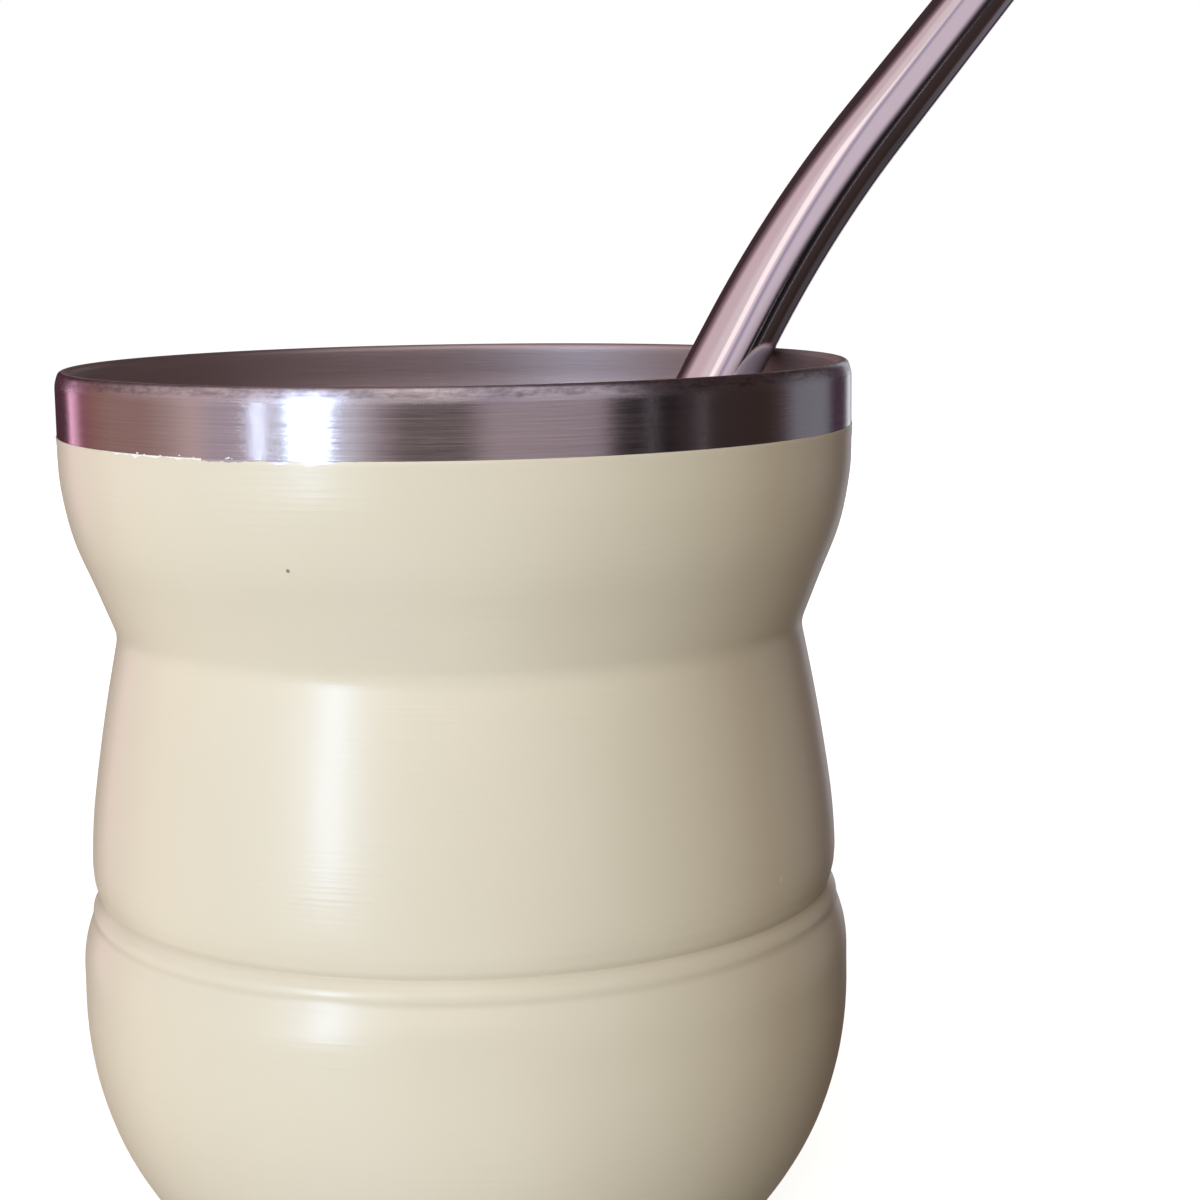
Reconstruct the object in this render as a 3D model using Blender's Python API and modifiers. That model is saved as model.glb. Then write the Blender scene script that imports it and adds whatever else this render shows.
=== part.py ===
# Steel mate cup with a bent drinking straw. The turned body is painted and has a waist and a
# rolled groove, the bare steel liner ends in a rim band above the paint, and the straw leans
# in the cup. Metres, +Z up, origin at the centre of the flat base.
import math

import bmesh
import bpy
from mathutils import Matrix, Vector

MM = 0.001

# Outer wall of the cup
CUP_HEIGHT = 88.0 * MM
RIM_RADIUS = 39.0 * MM
LIP_RADIUS = 0.6 * MM
PAINT_EDGE_HEIGHT = 81.65 * MM
WAIST_HEIGHT = 62.2 * MM
WAIST_RADIUS = 34.0 * MM
GROOVE_HEIGHT = 36.15 * MM
GROOVE_RADIUS = 36.72 * MM
BASE_RADIUS = 25.2 * MM

# The swells between those, as (height, radius) from top to bottom
SHOULDER_SWELL = [(77.0 * MM, 38.8 * MM), (72.0 * MM, 37.8 * MM), (67.1 * MM, 35.9 * MM)]
MIDDLE_SWELL = [(54.0 * MM, 35.6 * MM), (45.7 * MM, 36.9 * MM), (38.4 * MM, 37.30 * MM)]
BELLY_SWELL = [
    (34.7 * MM, 37.53 * MM), (33.6 * MM, 37.72 * MM), (31.6 * MM, 38.33 * MM), (29.5 * MM, 38.57 * MM),
    (23.0 * MM, 38.5 * MM), (17.0 * MM, 37.55 * MM), (11.0 * MM, 35.45 * MM), (5.4 * MM, 32.1 * MM),
    (1.8 * MM, 28.7 * MM),
]
BASE_ROUND = (0.3 * MM, 26.6 * MM)

# Inside of the cup: the wall as (height, radius) from the floor's corner to the lip
FLOOR_HEIGHT = 7.0 * MM
FLOOR_CORNER = 9.0 * MM
WALL_STATIONS = [
    (16.0 * MM, 29.8 * MM), (32.0 * MM, 30.3 * MM), (50.0 * MM, 30.7 * MM), (62.0 * MM, 31.8 * MM),
    (70.0 * MM, 33.9 * MM), (76.0 * MM, 36.1 * MM), (80.0 * MM, 37.2 * MM), (84.0 * MM, 37.7 * MM),
]
LINER_THICKNESS = 0.8 * MM
FIT_GAP = 0.3 * MM

# Straw: it lies in an upright plane through the cup's axis, leans on the lip and stands on the floor
STRAW_AZIMUTH = math.radians(27.5)
STRAW_RADIUS = 3.95 * MM
STRAW_END_RADIUS = 3.35 * MM
STRAW_WALL = 0.5 * MM
LOWER_LEAN = math.radians(33.3)
UPPER_LEAN = math.radians(44.7)
BEND_START_HEIGHT = 90.5 * MM
BEND_RADIUS = 135.0 * MM
UPPER_LENGTH = 48.0 * MM
MOUTH_LENGTH = 20.0 * MM
MOUTH_FLAT = 0.62
MOUTH_WIDE = 1.18

# Filter bulb at the straw's foot
BULB_RADIUS = 6.0 * MM
BULB_LENGTH = 24.0 * MM
HOLE_RADIUS = 0.9 * MM
HOLE_ROWS = 3
HOLES_PER_ROW = 8
HOLE_SPACING = BULB_LENGTH / 8
PIN_DEPTH = 4.0 * STRAW_WALL

# How finely the curves are cut into facets
TURN_STEPS = 56
CURVE_STEPS = 2
CORNER_STEPS = 5
LIP_STEPS = 6
STRAW_SIDES = 16
BEND_STEPS = 8
BULB_STEPS = 8
BULB_TIP_ANGLES = (85, 70, 50, 25)
MOUTH_STEPS = 4
PIN_SIDES = 8


def clear_scene():
    for item in list(bpy.data.objects):
        bpy.data.objects.remove(item, do_unlink=True)


def make_collection(name):
    collection = bpy.data.collections.new(name)
    bpy.context.scene.collection.children.link(collection)
    return collection


def make_material(name, colour, roughness, metallic):
    material = bpy.data.materials.new(name)
    material.use_nodes = True
    shader = material.node_tree.nodes["Principled BSDF"]
    shader.inputs["Base Color"].default_value = (*colour, 1.0)
    shader.inputs["Roughness"].default_value = roughness
    shader.inputs["Metallic"].default_value = metallic
    return material


def smooth_through(stations, steps=CURVE_STEPS):
    """Points of a Catmull-Rom curve through the stations, both ends included."""
    points = [Vector(station) for station in stations]
    points.insert(0, 2.0 * points[0] - points[1])
    points.append(2.0 * points[-1] - points[-2])
    curve = []
    for before, start, end, after in zip(points, points[1:], points[2:], points[3:]):
        for step in range(steps):
            t = step / steps
            curve.append(0.5 * (
                2.0 * start + (end - before) * t
                + (2.0 * before - 5.0 * start + 4.0 * end - after) * t ** 2
                + (3.0 * start - before - 3.0 * end + after) * t ** 3
            ))
    curve.append(points[-2])
    return [tuple(point) for point in curve]


def arc(centre, radius, start, end, steps):
    """Points (height, radius) of an arc about a centre given the same way; 0 points outwards."""
    points = []
    for step in range(steps + 1):
        angle = start + (end - start) * step / steps
        points.append((centre[0] + radius * math.sin(angle), centre[1] + radius * math.cos(angle)))
    return points


def outer_wall():
    """The painted outside from the paint's edge down to the middle of the base."""
    waist = (WAIST_HEIGHT, WAIST_RADIUS)
    shoulder = smooth_through([(PAINT_EDGE_HEIGHT, RIM_RADIUS), *SHOULDER_SWELL, waist])
    middle = smooth_through([waist, *MIDDLE_SWELL])
    belly = smooth_through([*BELLY_SWELL, BASE_ROUND])
    groove = [(GROOVE_HEIGHT, GROOVE_RADIUS)]
    return [*shoulder[:-1], *middle, *groove, *belly, (0.0, BASE_RADIUS), (0.0, 0.0)]


def cavity_wall(offset, top):
    """The cup's inside from the middle of its floor up to a height, moved outwards by an offset."""
    corner = (WALL_STATIONS[0][0], WALL_STATIONS[0][1] - FLOOR_CORNER)
    floor = arc(corner, FLOOR_CORNER + offset, -math.pi / 2, 0.0, CORNER_STEPS)
    wall = [(height, radius + offset) for height, radius in WALL_STATIONS if height < top]
    above = next(station for station in WALL_STATIONS if station[0] >= top)
    share = (top - wall[-1][0]) / (above[0] - wall[-1][0])
    edge = wall[-1][1] + (above[1] + offset - wall[-1][1]) * share
    return [(FLOOR_HEIGHT - offset, 0.0), *floor, *wall[1:], (top, edge)]


def body_profile():
    return cavity_wall(LINER_THICKNESS + FIT_GAP, PAINT_EDGE_HEIGHT) + outer_wall()


def liner_profile():
    """Inside, rounded lip, bare band, then back down under the paint's edge."""
    lip_height = CUP_HEIGHT - LIP_RADIUS
    lip_centre = (lip_height, RIM_RADIUS - LIP_RADIUS)
    inside = cavity_wall(0.0, WALL_STATIONS[-1][0])
    lip = arc(lip_centre, LIP_RADIUS, math.pi, 0.0, LIP_STEPS)
    band_foot = PAINT_EDGE_HEIGHT + FIT_GAP
    outside = cavity_wall(LINER_THICKNESS, band_foot)
    return inside + lip + [(band_foot, RIM_RADIUS)] + outside[::-1]


def turned(name, profile, material, collection):
    """A closed turned solid from (height, radius) points that run down its outer side."""
    mesh = bpy.data.meshes.new(name)
    mesh.from_pydata([(radius, 0.0, height) for height, radius in profile],
                     [(i, i + 1) for i in range(len(profile) - 1)], [])
    item = bpy.data.objects.new(name, mesh)
    collection.objects.link(item)
    mesh.materials.append(material)
    screw = item.modifiers.new("turn", "SCREW")
    screw.steps = TURN_STEPS
    screw.render_steps = TURN_STEPS
    screw.use_merge_vertices = True
    screw.merge_threshold = 0.00001
    return item


def lean_direction(lean):
    return Vector((math.sin(lean), 0.0, math.cos(lean)))


def straw_route():
    """Foot, start and end of the bend's arc, and mouth of the straw's centre line in its plane."""
    clearance = LIP_RADIUS + STRAW_RADIUS + FIT_GAP
    lip_centre = Vector((RIM_RADIUS - LIP_RADIUS, 0.0, CUP_HEIGHT - LIP_RADIUS))
    lower = lean_direction(LOWER_LEAN)
    beside_lip = lip_centre + clearance * Vector((-math.cos(LOWER_LEAN), 0.0, math.sin(LOWER_LEAN)))
    bend_start = beside_lip + lower * (BEND_START_HEIGHT - beside_lip.z) / lower.z
    foot_height = FLOOR_HEIGHT + FIT_GAP + BULB_RADIUS
    foot = beside_lip + lower * (foot_height - beside_lip.z) / lower.z
    centre = bend_start + BEND_RADIUS * Vector((math.cos(LOWER_LEAN), 0.0, -math.sin(LOWER_LEAN)))
    bend = []
    for step in range(1, BEND_STEPS + 1):
        lean = LOWER_LEAN + (UPPER_LEAN - LOWER_LEAN) * step / BEND_STEPS
        bend.append(centre + BEND_RADIUS * Vector((-math.cos(lean), 0.0, math.sin(lean))))
    return foot, bend_start, bend


def bulb_radius_at(distance, inset):
    """Radius of the filter bulb at a distance along the straw from the foot's centre."""
    if distance < 0.0:
        return math.sqrt(max((BULB_RADIUS - inset) ** 2 - distance ** 2, 0.0))
    share = min(max((distance - BULB_LENGTH / 2) / (BULB_LENGTH / 2), 0.0), 1.0)
    blend = share * share * (3.0 - 2.0 * share)
    return (BULB_RADIUS - inset) * (1.0 - blend) + (STRAW_RADIUS - inset) * blend


def straw_stations(inset, overrun):
    """Centre points and radii from the foot to the mouth, with the wall's inset taken off."""
    foot, bend_start, bend = straw_route()
    lower = lean_direction(LOWER_LEAN)
    upper = lean_direction(UPPER_LEAN)
    stations = []
    for angle in BULB_TIP_ANGLES:
        distance = -(BULB_RADIUS - inset) * math.sin(math.radians(angle))
        stations.append((foot + lower * distance, bulb_radius_at(distance, inset)))
    for step in range(BULB_STEPS + 1):
        distance = BULB_LENGTH * step / BULB_STEPS
        stations.append((foot + lower * distance, bulb_radius_at(distance, inset)))
    stations.append((bend_start, STRAW_RADIUS - inset))
    mouth_start = UPPER_LENGTH - MOUTH_LENGTH
    path = list(bend)
    for step in range(MOUTH_STEPS):
        path.append(bend[-1] + upper * (mouth_start + MOUTH_LENGTH * step / MOUTH_STEPS))
    path.append(bend[-1] + upper * (UPPER_LENGTH + overrun))
    tapered_length = (bend[-1] + upper * UPPER_LENGTH - bend_start).length
    for point in path:
        share = (point - bend_start).length / tapered_length
        stations.append((point, STRAW_RADIUS + (STRAW_END_RADIUS - STRAW_RADIUS) * share - inset))
    return stations


def swept(name, stations):
    """A closed mesh swept along a poly curve whose radius changes from point to point."""
    curve = bpy.data.curves.new(name, "CURVE")
    curve.dimensions = "3D"
    curve.bevel_depth = 1.0 * MM
    curve.bevel_resolution = STRAW_SIDES // 2 - 2
    curve.use_fill_caps = True
    curve.resolution_u = 1
    spline = curve.splines.new("POLY")
    spline.points.add(len(stations) - 1)
    for point, (centre, radius) in zip(spline.points, stations):
        point.co = (*centre, 1.0)
        point.radius = radius / curve.bevel_depth
    route = bpy.data.objects.new(name, curve)
    bpy.context.scene.collection.objects.link(route)
    bpy.context.view_layer.update()
    mesh = bpy.data.meshes.new_from_object(route.evaluated_get(bpy.context.evaluated_depsgraph_get()))
    bpy.data.objects.remove(route, do_unlink=True)
    bm = bmesh.new()
    bm.from_mesh(mesh)
    bmesh.ops.remove_doubles(bm, verts=bm.verts, dist=0.000001)
    bmesh.ops.recalc_face_normals(bm, faces=bm.faces)
    bm.to_mesh(mesh)
    bm.free()
    return mesh


def flatten_mouth(mesh):
    """Presses the mouth end to an oval, more and more towards its tip."""
    bend_end = straw_route()[2][-1]
    upper = lean_direction(UPPER_LEAN)
    start = bend_end + upper * (UPPER_LENGTH - MOUTH_LENGTH)
    across = Vector((-math.cos(UPPER_LEAN), 0.0, math.sin(UPPER_LEAN)))
    for vertex in mesh.vertices:
        share = min(max((vertex.co - start).dot(upper) / MOUTH_LENGTH, 0.0), 1.0)
        press = (MOUTH_FLAT - 1.0) * share * share * (3.0 - 2.0 * share)
        widen = (MOUTH_WIDE - 1.0) * share * share * (3.0 - 2.0 * share)
        vertex.co += across * (vertex.co - start).dot(across) * press
        vertex.co.y *= 1.0 + widen


def hole_cutters(collection):
    """Pins through the bulb's wall, in rows along it, each row turned by half a pitch."""
    foot = straw_route()[0]
    lower = lean_direction(LOWER_LEAN)
    turn_to_lean = Vector((0.0, 0.0, 1.0)).rotation_difference(lower)
    mesh = bpy.data.meshes.new("hole_pins")
    bm = bmesh.new()
    for row in range(HOLE_ROWS):
        for place in range(HOLES_PER_ROW):
            angle = 2.0 * math.pi * (place + 0.5 * (row % 2)) / HOLES_PER_ROW + math.pi / STRAW_SIDES
            outwards = turn_to_lean @ Vector((math.cos(angle), math.sin(angle), 0.0))
            middle = foot + lower * ((row + 0.5) * HOLE_SPACING) + outwards * BULB_RADIUS
            turn = Vector((0.0, 0.0, 1.0)).rotation_difference(outwards)
            place_pin = Matrix.Translation(middle) @ turn.to_matrix().to_4x4()
            bmesh.ops.create_cone(bm, cap_ends=True, segments=PIN_SIDES, radius1=HOLE_RADIUS,
                                  radius2=HOLE_RADIUS, depth=PIN_DEPTH, matrix=place_pin)
    bm.to_mesh(mesh)
    bm.free()
    pins = bpy.data.objects.new("hole_pins", mesh)
    collection.objects.link(pins)
    return pins


def cut(item, cutter):
    cutter.hide_render = True
    cutter.display_type = "WIRE"
    boolean = item.modifiers.new(cutter.name, "BOOLEAN")
    boolean.operation = "DIFFERENCE"
    boolean.object = cutter


def make_straw(material, collection, cutters):
    tube_mesh = swept("straw", straw_stations(0.0, 0.0))
    bore_mesh = swept("straw_bore", straw_stations(STRAW_WALL, 1.0 * MM))
    flatten_mouth(tube_mesh)
    flatten_mouth(bore_mesh)
    tube_mesh.materials.append(material)
    tube_mesh.shade_smooth()
    straw = bpy.data.objects.new("straw", tube_mesh)
    collection.objects.link(straw)
    bore = bpy.data.objects.new("straw_bore", bore_mesh)
    cutters.objects.link(bore)
    pins = hole_cutters(cutters)
    for item in (straw, bore, pins):
        item.rotation_euler.z = STRAW_AZIMUTH
    cut(straw, pins)
    cut(straw, bore)
    return straw


def build():
    clear_scene()
    parts = make_collection("mate_cup_with_straw")
    cutters = make_collection("straw_cutters")
    paint = make_material("cream_paint", (0.66, 0.60, 0.46), 0.38, 0.0)
    brushed = make_material("brushed_steel", (0.56, 0.53, 0.54), 0.30, 1.0)
    polished = make_material("polished_steel", (0.62, 0.58, 0.59), 0.14, 1.0)
    turned("cup_body", body_profile(), paint, parts)
    turned("cup_liner", liner_profile(), brushed, parts)
    make_straw(polished, parts, cutters)


build()
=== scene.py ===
# Mate cup with a bent drinking straw: looks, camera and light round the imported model.
import math

import bpy
from mathutils import Matrix, Vector


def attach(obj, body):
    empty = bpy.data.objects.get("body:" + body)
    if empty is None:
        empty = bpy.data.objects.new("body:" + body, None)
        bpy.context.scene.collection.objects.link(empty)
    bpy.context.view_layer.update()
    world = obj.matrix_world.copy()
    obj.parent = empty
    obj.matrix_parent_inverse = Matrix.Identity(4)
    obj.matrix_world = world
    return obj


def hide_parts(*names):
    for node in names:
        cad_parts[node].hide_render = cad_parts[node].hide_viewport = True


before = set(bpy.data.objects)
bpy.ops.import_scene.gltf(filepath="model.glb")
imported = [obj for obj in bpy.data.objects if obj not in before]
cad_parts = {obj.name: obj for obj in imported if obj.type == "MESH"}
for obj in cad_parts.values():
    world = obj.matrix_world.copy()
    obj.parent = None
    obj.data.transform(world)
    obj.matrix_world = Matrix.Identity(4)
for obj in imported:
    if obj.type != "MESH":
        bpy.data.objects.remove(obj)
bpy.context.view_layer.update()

mm = 0.001
creaseAngle = math.radians(40)
print("frame loaded:", sorted(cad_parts))


def linearColour(hexText):
    # sRGB hex to the linear colour that shaders and lights take
    channels = [int(hexText[i:i + 2], 16) / 255 for i in (0, 2, 4)]
    return [c / 12.92 if c <= 0.04045 else ((c + 0.055) / 1.055) ** 2.4 for c in channels] + [1.0]


def stationsInMm(stations):
    return [(height * mm, radius * mm) for height, radius in stations]


def plug(tree, value, socket):
    # a socket takes a plain value, a node (its first live output) or a (node, output name) pair
    if isinstance(value, bpy.types.Node):
        tree.links.new(next(s for s in value.outputs if s.enabled), socket)
    elif isinstance(value, tuple) and isinstance(value[0], bpy.types.Node):
        tree.links.new(value[0].outputs[value[1]], socket)
    else:
        socket.default_value = value


def addNode(tree, kind, settings={}, inputs={}):
    # inputs are named, or numbered where a node's inputs share a name
    node = tree.nodes.new(kind)
    for name, value in settings.items():
        setattr(node, name, value)
    for key, value in inputs.items():
        live = [socket for socket in node.inputs if socket.enabled]
        plug(tree, value, live[key] if isinstance(key, int) else next(s for s in live if s.name == key))
    return node


def fillRamp(node, stops):
    # stops are (position, linear colour), from left to right
    ramp = node.color_ramp
    while len(ramp.elements) > 1:
        ramp.elements.remove(ramp.elements[-1])
    ramp.elements[0].position, ramp.elements[0].color = stops[0]
    for position, colour in stops[1:]:
        ramp.elements.new(position).color = colour


def startMaterial(name):
    material = bpy.data.materials.new(name)
    material.use_nodes = True
    tree = material.node_tree
    return material, tree, tree.nodes["Principled BSDF"]


def setShader(tree, shader, inputs):
    for name, value in inputs.items():
        plug(tree, value, shader.inputs[name])


def smoothThrough(stations, steps=6):
    # points of a smooth curve through (height, radius) stations, both ends included
    points = [Vector(station) for station in stations]
    points = [2 * points[0] - points[1], *points, 2 * points[-1] - points[-2]]
    curve = []
    for a, b, c, d in zip(points, points[1:], points[2:], points[3:]):
        for step in range(steps):
            t = step / steps
            curve.append(0.5 * (2 * b + (c - a) * t + (2 * a - 5 * b + 4 * c - d) * t ** 2
                                + (3 * b - a - 3 * c + d) * t ** 3))
    return curve + [points[-2]]


def arcPoints(centre, radius, start, end, steps):
    # (height, radius) points round a centre; angle 0 points outwards and 90 up
    angles = [math.radians(start + (end - start) * i / steps) for i in range(steps + 1)]
    return [Vector((centre[0] + radius * math.sin(a), centre[1] + radius * math.cos(a))) for a in angles]


def trimmed(line, reach):
    # a line of points with a length taken off its end
    line = list(line)
    while (line[-1] - line[-2]).length < reach:
        reach -= (line[-1] - line[-2]).length
        line.pop()
    line[-1] = line[-1] + (line[-2] - line[-1]).normalized() * reach
    return line


def joinRounded(before, after, reach, steps=6):
    # two lines that meet in a corner, joined by a small round of that reach
    corner = before[-1]
    start = trimmed(before, reach)
    end = trimmed(after[::-1], reach)[::-1]
    joint = []
    for i in range(1, steps):
        t = i / steps
        joint.append(start[-1] * (1 - t) ** 2 + corner * 2 * t * (1 - t) + end[0] * t ** 2)
    return start + joint + end


def selectNothing():
    bpy.ops.object.select_all(action="DESELECT")


def turnedPiece(name, profile, sides):
    # a disc at the first point, its edge extruded ring by ring along the profile and closed at the last
    (height, radius), rest = profile[0], profile[1:]
    selectNothing()
    bpy.ops.mesh.primitive_circle_add(vertices=sides, radius=radius, fill_type="TRIFAN",
                                      location=(0, 0, height))
    piece = bpy.context.object
    piece.name = piece.data.name = name
    bpy.ops.object.transform_apply(location=True, rotation=True, scale=True)
    bpy.ops.object.mode_set(mode="EDIT")
    bpy.ops.mesh.select_mode(type="EDGE")
    bpy.ops.mesh.select_all(action="SELECT")
    bpy.ops.mesh.region_to_loop()
    for nextHeight, nextRadius in rest:
        growth = nextRadius / radius
        bpy.ops.mesh.extrude_region_move(TRANSFORM_OT_translate={"value": (0, 0, nextHeight - height)})
        bpy.ops.transform.resize(value=(growth, growth, 1), center_override=(0, 0, nextHeight))
        height, radius = nextHeight, nextRadius
    bpy.ops.mesh.extrude_region_move(TRANSFORM_OT_translate={"value": (0, 0, 0)})
    bpy.ops.mesh.merge(type="CENTER")
    bpy.ops.mesh.select_all(action="SELECT")
    bpy.ops.mesh.normals_make_consistent(inside=False)
    bpy.ops.object.mode_set(mode="OBJECT")
    bpy.ops.object.shade_smooth_by_angle(angle=creaseAngle)
    return piece


def dress(piece, node, material):
    piece.data.materials.clear()
    piece.data.materials.append(material)
    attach(piece, "root")
    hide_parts(node)


# inside of the cup, shared by the body and the liner
cavity = {
    "floorHeight": 7.0 * mm,
    "floorCorner": 9.0 * mm,
    "wall": stationsInMm([(16.0, 29.8), (32.0, 30.3), (50.0, 30.7), (62.0, 31.8),
                          (70.0, 33.9), (76.0, 36.1), (80.0, 37.2), (84.0, 37.7)]),
    "wallSteps": 4,
    "cornerSteps": 12,
    # rings between the middle of the floor and its corner, as shares of the way
    "floorShares": (0.3, 0.65),
    # wall points closer than this to the top are left out
    "leastStep": 0.2 * mm,
}


def cavityWall(offset, top):
    # from beside the middle of the floor up to a height, moved outwards by an offset
    cornerHeight, cornerRadius = cavity["wall"][0]
    floorRadius = cornerRadius - cavity["floorCorner"]
    reach = cavity["floorCorner"] + offset
    corner = arcPoints((cornerHeight, floorRadius), reach, -90, 0, cavity["cornerSteps"])
    wall = [point + Vector((0, offset)) for point in smoothThrough(cavity["wall"], cavity["wallSteps"])]
    wall = [point for point in wall if point.x < top - cavity["leastStep"]]
    wall.append(Vector((top, wallRadiusAt(top) + offset)))
    floor = [Vector((cavity["floorHeight"] - offset, floorRadius * share))
             for share in cavity["floorShares"]]
    return floor + corner[:-1] + wall


def wallRadiusAt(height):
    line = smoothThrough(cavity["wall"], cavity["wallSteps"])
    for low, high in zip(line, line[1:]):
        if height <= high.x:
            return low.y + (high.y - low.y) * (height - low.x) / (high.x - low.x)
    return line[-1].y


# spun steel body under cream paint
body = {
    "shoulder": stationsInMm([(81.4, 39.0), (77.0, 38.8), (72.0, 37.8), (67.1, 35.9), (62.2, 34.0)]),
    "middle": stationsInMm([(62.2, 34.0), (54.0, 35.6), (45.7, 36.9), (40.6, 37.34), (38.4, 37.30),
                            (37.4, 37.12), (36.7, 36.92), (36.15, 36.72)]),
    # from the groove over the rolled bead and a shallow dip into the belly
    "bead": stationsInMm([(36.15, 36.72), (35.8, 36.98), (35.45, 37.24), (35.2, 37.39), (35.0, 37.47),
                          (34.8, 37.52), (34.6, 37.54), (34.35, 37.545), (34.1, 37.57), (33.8, 37.65),
                          (33.4, 37.79), (32.6, 38.06), (31.6, 38.33), (30.5, 38.50), (29.5, 38.57)]),
    "belly": stationsInMm([(29.5, 38.57), (23.0, 38.5), (17.0, 37.55), (11.0, 35.45), (5.4, 32.1),
                           (1.8, 28.7), (0.3, 26.6), (0.0, 25.2)]),
    # rings of the flat base, at these radii
    "base": stationsInMm([(0.0, 20.0), (0.0, 8.0)]),
    "beadSteps": 3,
    "bellySteps": 5,
    "waistSteps": 8,
    "grooveSteps": 4,
    "waistRound": 1.0 * mm,
    "grooveRound": 0.05 * mm,
    "paintTop": 81.8 * mm,
    "paintFilm": 0.06 * mm,
    "rimSeat": 81.45 * mm,
    "linerThickness": 0.8 * mm,
    "fitGap": 0.3 * mm,
    "sides": 192,
}


def makeBody(material):
    inside = cavityWall(body["linerThickness"] + body["fitGap"], body["rimSeat"])
    rim = body["shoulder"][0][1]
    film = body["paintFilm"]
    edge = [(body["rimSeat"], rim - film), (body["paintTop"] - 0.3 * film, rim - film),
            (body["paintTop"], rim - 0.7 * film), (body["paintTop"], rim - 0.3 * film),
            (body["paintTop"] - 0.4 * film, rim)]
    line = smoothThrough(body["shoulder"])
    line = joinRounded(line, smoothThrough(body["middle"]), body["waistRound"], body["waistSteps"])
    bead = smoothThrough(body["bead"], body["beadSteps"])
    line = joinRounded(line, bead, body["grooveRound"], body["grooveSteps"])
    line = line[:-1] + smoothThrough(body["belly"], body["bellySteps"])
    profile = [tuple(p) for p in (*inside, *edge, *line, *body["base"])]
    dress(turnedPiece("paintedBody", profile, body["sides"]), "cup_body", material)


# steel liner with the bare band and the lip
liner = {
    "lipTop": 88.0 * mm,
    "lipRadius": 0.6 * mm,
    "bandRadius": 38.93 * mm,
    "bandFoot": 81.5 * mm,
    "easeHeight": 86.35 * mm,
    "easeIn": 0.22 * mm,
    "wallTop": 84.0 * mm,
    # where the lip's round runs into the band, in degrees above level
    "lipEndAngle": 12,
    "lipSteps": 12,
    "sides": 192,
    # rings on the way from the wall to the lip, along the ease and down the band
    "neckShares": (0.3, 0.6, 0.85),
    "easeShares": (0.2, 0.4, 0.6, 0.8, 1.0),
    "bandShares": (0.5, 0.1, 0.0),
}


def makeLiner(material):
    inside = cavityWall(0.0, liner["wallTop"])
    # the band eases inwards below the lip, then the lip turns over in a small round
    lipCentre = (liner["lipTop"] - liner["lipRadius"],
                 liner["bandRadius"] - liner["easeIn"] - liner["lipRadius"])
    lip = arcPoints(lipCentre, liner["lipRadius"], 180, liner["lipEndAngle"], liner["lipSteps"])
    neck = [inside[-1].lerp(lip[0], share) for share in liner["neckShares"]]
    rise = lip[-1].x - liner["easeHeight"]
    depth = liner["bandRadius"] - lip[-1].y
    ease = [(lip[-1].x - rise * share, liner["bandRadius"] - depth * (1 - share) ** 2)
            for share in liner["easeShares"]]
    height = liner["easeHeight"] - liner["bandFoot"]
    band = [(liner["bandFoot"] + height * share, liner["bandRadius"]) for share in liner["bandShares"]]
    outside = cavityWall(body["linerThickness"], liner["bandFoot"])
    profile = [tuple(p) for p in (*inside, *neck, *lip, *ease, *band, *outside[::-1])]
    dress(turnedPiece("steelLiner", profile, liner["sides"]), "cup_liner", material)


# straw, made upright from its mouth downwards and then leant into its place
straw = {
    "azimuth": 27.5,
    "radius": 3.95 * mm,
    "endRadius": 3.35 * mm,
    "wall": 0.5 * mm,
    "lowerLean": 33.3,
    "upperLean": 44.7,
    "bendStartHeight": 90.5 * mm,
    "bendRadius": 135.0 * mm,
    "bendSteps": 16,
    "upperLength": 48.0 * mm,
    "mouthLength": 20.0 * mm,
    "mouthFlat": 0.62,
    "mouthWide": 1.16,
    "bulbRadius": 6.0 * mm,
    "bulbLength": 24.0 * mm,
    "holeRadius": 0.9 * mm,
    "holeRows": 3,
    "holesPerRow": 8,
    "holeSpacing": 3.0 * mm,
    "holeSides": 24,
    "mouthEdge": 0.16 * mm,
    "mouthEdgeSegments": 3,
    "sides": 64,
    # rings along the mouth, the rest of the upper part, the lower part and the bulb
    "mouthRings": 12,
    "upperRings": 6,
    "lowerRings": 8,
    "bulbRings": 24,
    "tipAngles": range(8, 88, 8),
}


def leanDirection(degrees):
    return Vector((math.sin(math.radians(degrees)), 0, math.cos(math.radians(degrees))))


def strawPlaces():
    # foot, start and end of the bend in the straw's own upright plane
    lean = math.radians(straw["lowerLean"])
    clearance = liner["lipRadius"] + straw["radius"] + body["fitGap"]
    rim = body["shoulder"][0][1]
    lipCentre = Vector((rim - liner["lipRadius"], 0, liner["lipTop"] - liner["lipRadius"]))
    beside = lipCentre + clearance * Vector((-math.cos(lean), 0, math.sin(lean)))
    lower = leanDirection(straw["lowerLean"])
    footHeight = cavity["floorHeight"] + body["fitGap"] + straw["bulbRadius"]
    foot = beside + lower * (footHeight - beside.z) / lower.z
    bendStart = beside + lower * (straw["bendStartHeight"] - beside.z) / lower.z
    centre = bendStart + straw["bendRadius"] * Vector((math.cos(lean), 0, -math.sin(lean)))
    high = math.radians(straw["upperLean"])
    bendEnd = centre + straw["bendRadius"] * Vector((-math.cos(high), 0, math.sin(high)))
    return foot, bendStart, bendEnd


def bulbRadiusAt(distance):
    if distance < 0:
        return math.sqrt(max(straw["bulbRadius"] ** 2 - distance ** 2, 0))
    share = min(max((distance - straw["bulbLength"] / 2) / (straw["bulbLength"] / 2), 0), 1)
    blend = share * share * (3 - 2 * share)
    return straw["bulbRadius"] * (1 - blend) + straw["radius"] * blend


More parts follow.
